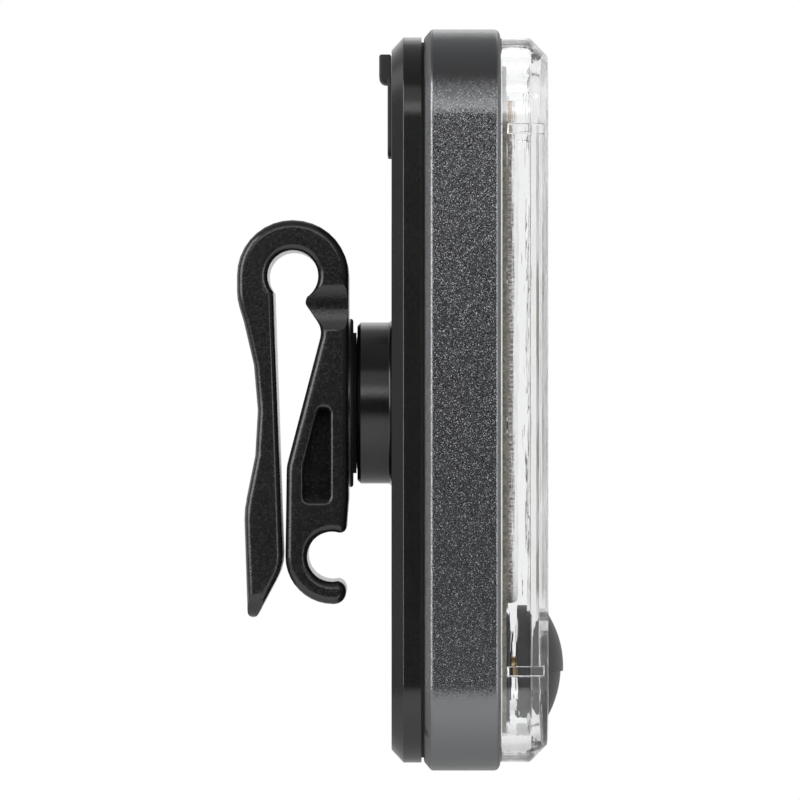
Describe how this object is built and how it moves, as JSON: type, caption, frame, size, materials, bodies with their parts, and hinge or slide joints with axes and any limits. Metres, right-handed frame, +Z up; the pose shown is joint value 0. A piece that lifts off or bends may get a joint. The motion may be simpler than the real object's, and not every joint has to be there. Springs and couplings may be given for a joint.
{
  "type": "bike light",
  "caption": "Slim upright bike light with a clear front lens, a rubber button, a rubber-flapped charging socket and a swivelling spring clip with strap loop and strap hook on its back.",
  "frame": {"origin": "middle of the clip's belt slot, on the swivel axis", "axes": "+X along the swivel axis, the way the light shines; +Z up, towards the strap loop; Y across the width"},
  "size_m": [0.0328, 0.036, 0.0742],
  "materials": {
    "clip_black": "fine-textured satin black moulding",
    "cover_black": "satin black moulding",
    "housing_gunmetal": "sparkling gunmetal coat",
    "lens_clear": "clear polished polycarbonate",
    "rubber": "matt black rubber",
    "button_rubber": "matt dark grey rubber",
    "screw_black": "black oxide",
    "steel": "plain steel",
    "brass": "turned brass",
    "chassis_black": "matt black moulding",
    "cell_foil": "laminated foil pouch",
    "foam": "closed-cell foam",
    "board_green": "solder mask",
    "board_white": "white solder mask",
    "led_phosphor": "phosphor gel, unlit",
    "film_white": "white reflective film"
  },
  "bodies": {
    "clip_body": {"clip": "clip_black", "thread_insert": "brass", "pivot_screw": "steel", "pivot_washer": "steel"},
    "case_body": {"back_cover": "cover_black", "pivot_oring": "rubber", "flap_anchor": "rubber", "rear_gasket": "rubber", "housing": "housing_gunmetal", "case_screws": "screw_black", "chassis": "chassis_black", "battery": "cell_foil", "battery_pad": "foam", "battery_tabs": "steel", "main_board": "board_green", "board_chips": "chassis_black", "usb_socket": "steel", "board_link": "chassis_black", "led_board": "board_white", "strip_base": "board_white", "led_strip": "led_phosphor", "led_resistors": "chassis_black", "reflector": "film_white", "tact_switch": "chassis_black", "switch_stem": "brass", "lens_gasket": "rubber", "lens": "lens_clear"},
    "flap_body": {"port_flap": "rubber"},
    "button_body": {"button": "button_rubber", "button_plunger": "film_white"}
  },
  "joints": [
    {"name": "swivel", "type": "hinge", "parent": "clip_body", "child": "case_body", "pos_m": [0.0067, 0, 0], "axis": [1, 0, 0], "continuous": true},
    {"name": "flap_hinge", "type": "hinge", "parent": "case_body", "child": "flap_body", "pos_m": [0.01027, 0, 0.027], "axis": [0, -1, 0], "range_deg": [0, 95], "stiffness_Nm_per_rad": 0.002, "springref_deg": -5.73},
    {"name": "button_press", "type": "slide", "parent": "case_body", "child": "button_body", "axis": [-1, 0, 0], "range_m": [0, 0.0003], "stiffness_N_per_m": 2500}
  ]
}
